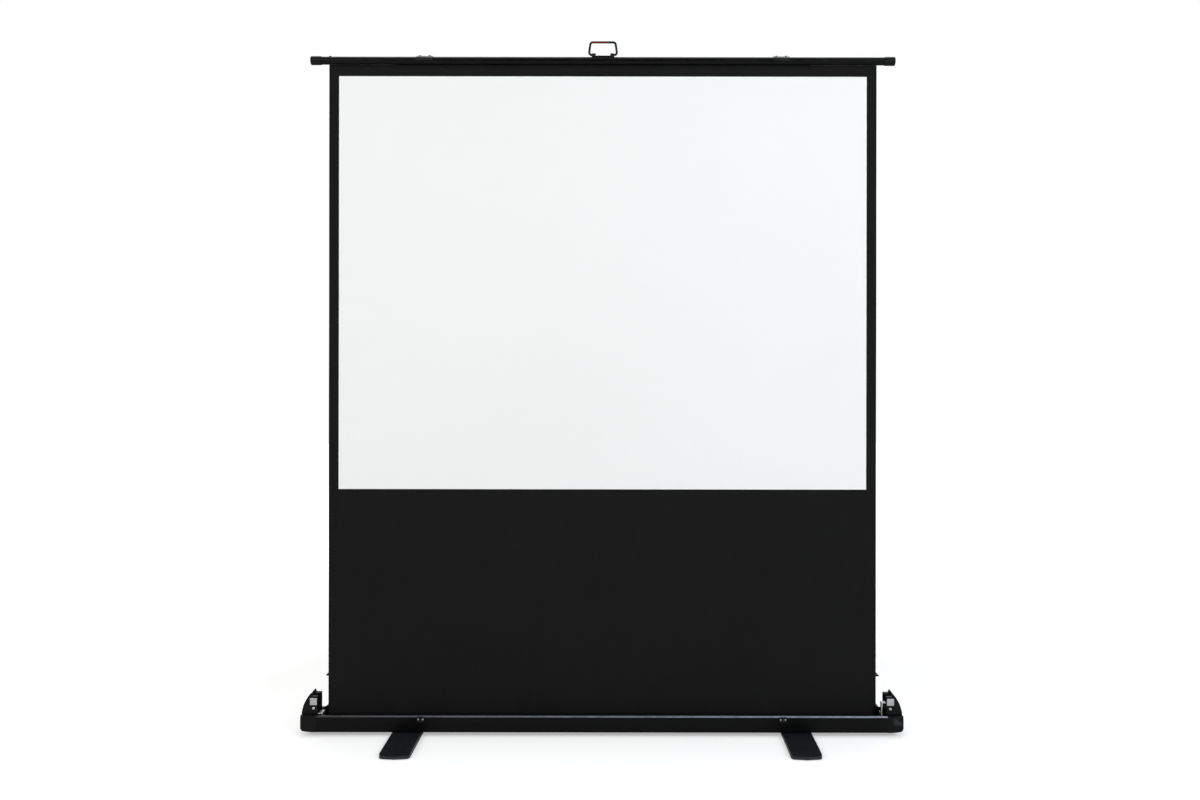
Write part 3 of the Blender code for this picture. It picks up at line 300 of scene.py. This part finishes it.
def moulded_plastic():
    """Black plastic with a fine pebbled skin."""
    s = Shader("moulded_plastic", (0.0026, 0.0026, 0.0029), 0.38, specular=0.17)
    rubbed = (0.016, 0.016, 0.017)
    base = s.clouds(s.noise(16.0, 4.0, 0.6, stretch=(1.0, 1.0, 2.2)), 0.85, 1.35)
    worn = s.wear(0.0012, s.noise(80.0, 3.0), most=0.5, start=0.45, end=0.7)
    s.set_colour(s.blend(worn, base, rubbed))
    s.set_roughness(s.between(s.noise(90.0, 2.0), 0.34, 0.47, start=0.3, end=0.7))
    s.bump(s.cells(1500.0), distance=0.00005, strength=0.5)
    return s.finished()


def foot_paint():
    """Paint that is paler and slightly bluer than the case's."""
    s = Shader("foot_paint", (0.0105, 0.0112, 0.0142), 0.40)
    rubbed = (0.030, 0.031, 0.034)
    base = s.clouds(s.noise(9.0, 4.0, 0.6), 0.8, 1.3)
    worn = s.wear(0.0009, s.noise(70.0, 4.0, 0.65), most=0.5, start=0.5, end=0.72)
    s.set_colour(s.blend(worn, base, rubbed))
    s.set_roughness(s.between(s.noise(40.0, 3.0), 0.34, 0.48, start=0.35, end=0.65))
    s.bump(s.noise(700.0, 1.0), distance=0.00010, strength=0.35)
    return s.finished()


def coated_steel():
    """Thin black coating with fine level scratches, greyer on rubbed edges."""
    s = Shader("coated_steel", (0.0060, 0.0060, 0.0064), 0.33, specular=0.35)
    rubbed = (0.045, 0.044, 0.043)
    base = s.clouds(s.noise(22.0, 4.0, 0.6), 0.75, 1.4)
    worn = s.wear(0.0006, s.noise(140.0, 4.0, 0.6), most=0.7, start=0.48, end=0.7)
    scratches = s.noise(90.0, 4.0, 0.7, stretch=(1.0, 1.0, 18.0))
    s.set_colour(s.blend(worn, base, rubbed))
    s.set_roughness(s.between(scratches, 0.26, 0.42, start=0.35, end=0.7))
    s.bump(s.noise(900.0, 2.0), distance=0.00004, strength=0.4)
    return s.finished()


def handle_paint():
    """Black wire with a thin dark red strip under its top."""
    s = Shader("handle_paint", (0.0016, 0.0016, 0.0018), 0.42, specular=0.16)
    cloud = s.noise(70.0, 4.0, 0.6)
    s.set_colour(s.blend(handle_strip(s), s.clouds(cloud, 0.8, 1.5), STRIP_COLOUR))
    s.set_roughness(s.between(cloud, 0.36, 0.5, start=0.35, end=0.65))
    s.bump(s.noise(900.0, 2.0), distance=0.00004, strength=0.4)
    return s.finished()


def keeper_steel():
    """Black plates whose two rivets are bright metal."""
    s = Shader("keeper_steel", (0.0060, 0.0060, 0.0064), 0.33, specular=0.35)
    cloud = s.noise(60.0, 4.0, 0.6)
    rivets = keeper_rivets(s)
    bright = s.patches(cloud, (0.62, 0.63, 0.66), (0.80, 0.80, 0.82))
    s.set_colour(s.blend(rivets, s.clouds(cloud, 0.75, 1.5), bright))
    s.feed(rivets, s.shader.inputs["Metallic"])
    s.set_roughness(s.between(s.noise(220.0, 3.0), 0.28, 0.42, start=0.35, end=0.65))
    s.bump(s.noise(900.0, 2.0), distance=0.00004, strength=0.4)
    return s.finished()


def zinc_plate():
    """Bright plating with the spangle of zinc."""
    s = Shader("zinc_plate", (0.62, 0.63, 0.65), 0.34, metallic=1.0)
    dull = (0.44, 0.45, 0.47)
    base = s.patches(s.noise(60.0, 4.0, 0.6), (0.50, 0.505, 0.52), (0.70, 0.705, 0.70))
    fine = s.noise(420.0, 3.0, 0.6, stretch=(1.0, 7.0, 1.0))
    s.set_colour(s.blend(s.between(s.cells(240.0), 0.0, 0.22, start=0.2, end=0.7), base, dull))
    s.set_roughness(s.between(fine, 0.26, 0.44, start=0.35, end=0.65))
    s.bump(fine, distance=0.00002, strength=0.5)
    return s.finished()


def drawn_aluminium():
    """Bare metal with streaks along X, the way it was drawn."""
    s = Shader("drawn_aluminium", (0.66, 0.66, 0.67), 0.36, metallic=1.0)
    streaks = s.noise(260.0, 4.0, 0.65, stretch=(0.02, 1.0, 1.0))
    s.set_colour(s.patches(streaks, (0.54, 0.54, 0.55), (0.72, 0.72, 0.73)))
    s.set_roughness(s.between(streaks, 0.28, 0.46, start=0.3, end=0.7))
    s.bump(streaks, distance=0.00003, strength=0.5)
    return s.finished()


def white_nylon():
    """Milky plastic with soft clouds."""
    s = Shader("nylon", (0.72, 0.71, 0.67), 0.45)
    s.set_colour(s.patches(s.noise(120.0, 3.0), (0.66, 0.65, 0.60), (0.76, 0.75, 0.71)))
    s.set_roughness(s.between(s.noise(300.0, 2.0), 0.38, 0.52, start=0.3, end=0.7))
    s.bump(s.noise(1400.0, 2.0), distance=0.00004, strength=0.4)
    return s.finished()


def black_rubber():
    """Dull rubber with a little dust."""
    s = Shader("pad_rubber", (0.008, 0.008, 0.008), 0.8, specular=0.2)
    dusty = (0.018, 0.0175, 0.0165)
    dust = s.noise(48.0, 5.0, 0.65)
    s.set_colour(s.blend(s.between(dust, 0.0, 0.8, start=0.45, end=0.75), s.colour, dusty))
    s.set_roughness(s.between(dust, 0.7, 0.88, start=0.3, end=0.7))
    s.bump(s.noise(1600.0, 3.0), distance=0.00006, strength=0.6)
    return s.finished()


WEAVE_SCALE = 330.0
WEAVE_WANDER = 0.6


def woven_black():
    """Black cloth with a plain weave and the odd thicker upright thread."""
    s = Shader("woven_black", (0.0072, 0.0072, 0.0073), 0.78, specular=0.11)
    weave = s.product(s.wave("X", WEAVE_SCALE, WEAVE_WANDER), s.wave("Z", WEAVE_SCALE, WEAVE_WANDER))
    slub = s.noise(170.0, 3.0, 0.6, stretch=(1.0, 1.0, 0.12))
    base = s.clouds(s.noise(3.2, 4.0, 0.6), 0.85, 1.2)
    threads = s.blend(s.between(slub, 0.0, 0.6, start=0.4, end=0.7), base, s.tint(1.6))
    s.set_colour(s.blend(s.between(weave, 0.45, 0.0), threads, s.tint(0.55)))
    s.set_roughness(s.between(slub, 0.72, 0.84, start=0.3, end=0.7))
    s.bump(weave, distance=0.00010, strength=0.5)
    s.bump(slub, distance=0.00008, strength=0.3)
    return s.finished()


def matt_white():
    """The picture area's even coating, with a very fine grain."""
    s = Shader("matt_white", (0.87, 0.87, 0.865), 0.86, specular=0.22)
    hollow = (0.84, 0.84, 0.835)
    base = s.patches(s.noise(1.4, 3.0, 0.5), (0.862, 0.862, 0.858), (0.876, 0.876, 0.872))
    grain = s.noise(1500.0, 2.0)
    s.set_colour(s.blend(s.between(grain, 0.0, 0.35, start=0.4, end=0.75), base, hollow))
    s.set_roughness(s.between(grain, 0.8, 0.92, start=0.3, end=0.7))
    s.bump(grain, distance=0.00005, strength=0.5)
    return s.finished()


SLOT_MATERIALS = {
    "black_paint": powder_paint(),
    "black_plastic": moulded_plastic(),
    "black_steel": coated_steel(),
    "zinc_steel": zinc_plate(),
    "aluminium": drawn_aluminium(),
    "white_nylon": white_nylon(),
    "rubber": black_rubber(),
    "black_cloth": woven_black(),
    "matt_white": matt_white(),
}


# CAD nodes
WELD_DISTANCE = 0.00001
SOFT_EDGE = 0.0004
FINE_EDGE = 0.00024
SHARP_ANGLE = math.radians(32)
FINE_NODES = ("cap_plate", "cap_screw", "rivet", "foot_bolt", "base_slider", "bar_slider")


def dress_node(obj, material):
    """Gives a node its material and slightly rounded edges."""
    obj.data.materials.clear()
    obj.data.materials.append(material)
    for polygon in obj.data.polygons:
        polygon.use_smooth = True
    weld = obj.modifiers.new("weld", "WELD")
    weld.merge_threshold = WELD_DISTANCE
    bevel = obj.modifiers.new("edge", "BEVEL")
    bevel.width = FINE_EDGE if obj.name.startswith(FINE_NODES) else SOFT_EDGE
    bevel.segments = 2
    bevel.limit_method = "ANGLE"
    bevel.angle_limit = SHARP_ANGLE
    bevel.harden_normals = True
    normals = obj.modifiers.new("normals", "WEIGHTED_NORMAL")
    normals.keep_sharp = True


def dress_cad_nodes():
    """Gives every CAD node the detailed material of its slot, and a few a finish of their own."""
    finishes = dict.fromkeys(("foot_left", "foot_right"), foot_paint())
    finishes.update(dict.fromkeys(("lid_keeper_left", "lid_keeper_right"), keeper_steel()))
    finishes["pull_handle"] = handle_paint()
    for name, obj in NODES.items():
        slot = obj.data.materials[0].name
        dress_node(obj, finishes.get(name, SLOT_MATERIALS[slot]))


# Sheet pieces
def divided(stops, counts):
    """Places along a line of stops, with each stretch between two stops cut into equal steps."""
    places = []
    for start, end, count in zip(stops, stops[1:], counts):
        places += [start + (end - start) * i / count for i in range(count)]
    return places + [stops[-1]]


def slab_faces(wide, tall):
    """The faces of a thin slab whose vertices are a front grid and then a back grid.

    Each cell gives its front face and then its back face, row by row. The rim comes last.
    """
    back = wide * tall
    faces = []
    for row in range(tall - 1):
        for column in range(wide - 1):
            a = row * wide + column
            faces.append((a, a + 1, a + wide + 1, a + wide))
            b = back + a
            faces.append((b, b + wide, b + wide + 1, b + 1))
    rim = list(range(wide))
    rim += [row * wide + wide - 1 for row in range(1, tall)]
    rim += [(tall - 1) * wide + column for column in range(wide - 2, -1, -1)]
    rim += [row * wide for row in range(tall - 2, 0, -1)]
    for a, b in zip(rim, rim[1:] + rim[:1]):
        faces.append((a, a + back, b + back, b))
    return faces


def front_face(row, column, wide):
    """The number that slab_faces gives the front face of a cell."""
    return 2 * (row * (wide - 1) + column)


def slab_piece(name, vertices, wide, tall, *materials):
    """A new smooth piece made of a thin slab."""
    data = bpy.data.meshes.new(name)
    data.from_pydata(vertices, [], slab_faces(wide, tall))
    data.update()
    obj = bpy.data.objects.new(name, data)
    bpy.context.scene.collection.objects.link(obj)
    for material in materials:
        data.materials.append(material)
    for polygon in data.polygons:
        polygon.use_smooth = True
    return obj


# How many cells the hung sheet has, from side to side and from its foot up
SIDE_COLUMNS = 3
WHITE_COLUMNS = 64
DROP_ROWS = 30
WHITE_ROWS = 52
TOP_ROWS = 3
# The waves near its sides and its broad swell, in metres and in radians a metre
WAVE_START = 0.62
WAVE_FADE = 0.21
WAVE_DEPTH = 0.0006
WAVE_RISE = 7.1
WAVE_SLANT = 2.0
SWELL_DEPTH = 0.0002
SWELL_TURN = 9.0
# The white area's place among its materials, after the cloth's
WHITE_INDEX = 1


def hung_sheet():
    """The whole screen: black woven cloth with its white picture area."""
    low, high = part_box("screen_fabric")
    white_low, white_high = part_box("projection_surface")
    across = (low.x, white_low.x, white_high.x, high.x)
    up = (low.z, white_low.z, white_high.z, high.z)
    columns = divided(across, (SIDE_COLUMNS, WHITE_COLUMNS, SIDE_COLUMNS))
    rows = divided(up, (DROP_ROWS, WHITE_ROWS, TOP_ROWS))
    middle = (low.y + high.y) / 2
    half = (high.y - low.y) / 2

    def ripple(x, z):
        """How far the cloth stands off its plane: most near its sides, at half its height."""
        margin = min(1.0, max(0.0, (abs(x) - WAVE_START) / WAVE_FADE))
        belly = math.sin(math.pi * (z - low.z) / (high.z - low.z))
        waves = WAVE_DEPTH * margin * belly * math.sin(WAVE_RISE * z + WAVE_SLANT * x)
        return waves + SWELL_DEPTH * math.sin(SWELL_TURN * x)

    vertices = []
    for side in (-1, 1):
        for z in rows:
            vertices += [(x, middle + side * half + ripple(x, z), z) for x in columns]
    obj = slab_piece("screen_sheet", vertices, len(columns), len(rows),
                     SLOT_MATERIALS["black_cloth"], SLOT_MATERIALS["matt_white"])
    for row in range(DROP_ROWS, DROP_ROWS + WHITE_ROWS):
        for column in range(SIDE_COLUMNS, SIDE_COLUMNS + WHITE_COLUMNS):
            face = front_face(row, column, len(columns))
            obj.data.polygons[face].material_index = WHITE_INDEX
    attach(obj, "bar")
    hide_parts("screen_fabric", "projection_surface")
    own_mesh(obj)


# The rest of the sheet, wound on the roller
WOUND_TURNS = 1.25
WOUND_THICKNESS = 0.0003
WOUND_GAP = 0.00002
WOUND_STEPS = 90
WOUND_COLUMNS = 40


def wound_sheet():
    """The last turn and a quarter of the sheet, whose layers lie on each other."""
    low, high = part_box("roller_wrap")
    centre = (low + high) / 2
    outer = (high.z - low.z) / 2
    depth = (WOUND_THICKNESS + WOUND_GAP) * WOUND_TURNS
    columns = divided((low.x, high.x), (WOUND_COLUMNS,))
    shares = [i / WOUND_STEPS for i in range(WOUND_STEPS + 1)]
    vertices = []
    for shift in (0.0, -WOUND_THICKNESS):
        for share in shares:
            angle = 2 * math.pi * WOUND_TURNS * share
            radius = outer - depth * (1 - share) + shift
            y = centre.y + radius * math.cos(angle)
            z = centre.z + radius * math.sin(angle)
            vertices += [(x, y, z) for x in columns]
    obj = slab_piece("wound_sheet", vertices, len(columns), len(shares),
                     SLOT_MATERIALS["black_cloth"])
    mesh = bmesh.new()
    mesh.from_mesh(obj.data)
    bmesh.ops.recalc_face_normals(mesh, faces=mesh.faces)
    mesh.to_mesh(obj.data)
    mesh.free()
    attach(obj, "roller")
    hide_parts("roller_wrap")


# Camera, measured in the photograph's own pixels and placed in metres
IMAGE_WIDTH = 1200
IMAGE_HEIGHT = 800
FOCAL_PIXELS = 1088.0
VANISHING_X = 624.0
HORIZON_Y = 359.6
CAMERA_PLACE = (0.065, -3.308, 1.133)
CAMERA_ROLL = math.radians(0.08)
SENSOR_WIDTH = 36.0
FARTHEST_SEEN = 100.0


def add_camera():
    """A camera that looks along Y, shifted to the photograph's framing."""
    data = bpy.data.cameras.new("camera")
    data.sensor_width = SENSOR_WIDTH
    data.lens = SENSOR_WIDTH * FOCAL_PIXELS / IMAGE_WIDTH
    data.shift_x = (IMAGE_WIDTH / 2 - VANISHING_X) / IMAGE_WIDTH
    data.shift_y = (HORIZON_Y - IMAGE_HEIGHT / 2) / IMAGE_WIDTH
    data.clip_end = FARTHEST_SEEN
    camera = bpy.data.objects.new("camera", data)
    bpy.context.scene.collection.objects.link(camera)
    facing = Matrix.Rotation(math.radians(90), 4, "X") @ Matrix.Rotation(CAMERA_ROLL, 4, "Z")
    camera.matrix_world = Matrix.Translation(CAMERA_PLACE) @ facing
    bpy.context.scene.camera = camera


# Lamps
SCREEN_CENTRE = (0.0, 0.0, 1.0)
SCREEN_LOWER_HALF = (0.0, 0.0, 0.5)
WARM_WHITE = (1.0, 0.985, 0.96)
COOL_WHITE = (0.90, 0.955, 1.0)
PLAIN_WHITE = (1.0, 1.0, 1.0)


def add_lamp(name, place, target, size, power, colour):
    """A soft box at a place, turned to its target."""
    data = bpy.data.lights.new(name, "AREA")
    data.shape = "RECTANGLE"
    data.size, data.size_y = size
    data.energy = power
    data.color = colour
    lamp = bpy.data.objects.new(name, data)
    bpy.context.scene.collection.objects.link(lamp)
    lamp.location = place
    lamp.rotation_euler = (Vector(target) - Vector(place)).to_track_quat("-Z", "Y").to_euler()


def add_lamps():
    add_lamp("lamp_left", place=(-3.4, -4.2, 3.4), target=SCREEN_CENTRE,
             size=(2.4, 2.4), power=126.0, colour=WARM_WHITE)
    add_lamp("lamp_right", place=(3.0, -3.6, 3.0), target=SCREEN_CENTRE,
             size=(2.0, 2.0), power=111.0, colour=COOL_WHITE)
    add_lamp("lamp_top", place=(0.0, 0.4, 4.6), target=SCREEN_LOWER_HALF,
             size=(3.0, 1.6), power=66.0, colour=PLAIN_WHITE)


# The world's strengths: on matt surfaces, in mirrors that face the camera's side and the back,
# and as the camera sees it
ROOM_LIGHT = 0.30
ROOM_MIRRORED = 0.10
BACKDROP_MIRRORED = 1.0
BACKDROP_SEEN = 1.0
# How far a mirrored direction points to the back where the room ends and the backdrop starts
ROOM_END = -0.05
BACKDROP_START = 0.6


def add_world():
    """A white backdrop behind the object, and a dimmer room on the camera's side of it."""
    world = bpy.data.worlds.new("studio")
    bpy.context.scene.world = world
    world.use_nodes = True
    tree = world.node_tree
    shader = tree.nodes["Background"]
    shader.inputs["Color"].default_value = (1, 1, 1, 1)
    path = add_node(tree, "ShaderNodeLightPath")
    place = add_node(tree, "ShaderNodeTexCoord")
    split = add_node(tree, "ShaderNodeSeparateXYZ")
    ramp = add_range(tree, ROOM_MIRRORED, BACKDROP_MIRRORED, ROOM_END, BACKDROP_START,
                     interpolation_type="SMOOTHSTEP")
    mirrored = add_node(tree, "ShaderNodeMath", operation="MAXIMUM")
    reflected = add_node(tree, "ShaderNodeMix")
    reflected.inputs[MIX_FIRST_NUMBER].default_value = ROOM_LIGHT
    seen = add_node(tree, "ShaderNodeMix")
    seen.inputs[MIX_SECOND_NUMBER].default_value = BACKDROP_SEEN
    link = tree.links.new
    link(place.outputs["Generated"], split.inputs["Vector"])
    link(split.outputs["Y"], ramp.inputs["Value"])
    link(path.outputs["Is Glossy Ray"], mirrored.inputs[0])
    link(path.outputs["Is Transmission Ray"], mirrored.inputs[1])
    link(mirrored.outputs[0], reflected.inputs[MIX_SHARE])
    link(ramp.outputs["Result"], reflected.inputs[MIX_SECOND_NUMBER])
    link(path.outputs["Is Camera Ray"], seen.inputs[MIX_SHARE])
    link(reflected.outputs[MIXED_NUMBER], seen.inputs[MIX_FIRST_NUMBER])
    link(seen.outputs[MIXED_NUMBER], shader.inputs["Strength"])


# The floor, with its glow for the camera alone, from near the object to further off
FLOOR_RADIUS = 12.0
FLOOR_SIDES = 64
FLOOR_COLOUR = (0.84, 0.84, 0.84)
GLOW_NEAR = 0.40
GLOW_FAR = 1.0
NEAR_END = 1.3
FAR_START = 3.2


def floor_paper():
    """White paper that turns into the backdrop's white away from the object."""
    material = bpy.data.materials.new("floor_paper")
    material.use_nodes = True
    tree = material.node_tree
    shader = tree.nodes["Principled BSDF"]
    shader.inputs["Base Color"].default_value = (*FLOOR_COLOUR, 1)
    shader.inputs["Roughness"].default_value = 0.9
    shader.inputs["Specular IOR Level"].default_value = 0.1
    shader.inputs["Emission Color"].default_value = (1, 1, 1, 1)
    path = add_node(tree, "ShaderNodeLightPath")
    place = add_node(tree, "ShaderNodeTexCoord")
    distance = add_node(tree, "ShaderNodeVectorMath", operation="LENGTH")
    far = add_range(tree, GLOW_NEAR, GLOW_FAR, NEAR_END, FAR_START)
    glow = add_node(tree, "ShaderNodeMath", operation="MULTIPLY")
    link = tree.links.new
    link(place.outputs["Object"], distance.inputs[0])
    link(distance.outputs["Value"], far.inputs["Value"])
    link(path.outputs["Is Camera Ray"], glow.inputs[0])
    link(far.outputs["Result"], glow.inputs[1])
    link(glow.outputs[0], shader.inputs["Emission Strength"])
    return material


def add_floor():
    """A round floor that keeps the object's shadow."""
    data = bpy.data.meshes.new("floor")
    mesh = bmesh.new()
    bmesh.ops.create_circle(mesh, cap_ends=True, segments=FLOOR_SIDES, radius=FLOOR_RADIUS)
    mesh.to_mesh(data)
    mesh.free()
    data.materials.append(floor_paper())
    floor = bpy.data.objects.new("floor", data)
    bpy.context.scene.collection.objects.link(floor)


add_camera()
add_world()
add_floor()
add_lamps()
dress_cad_nodes()
hung_sheet()
wound_sheet()

bpy.context.scene.view_settings.view_transform = "Standard"
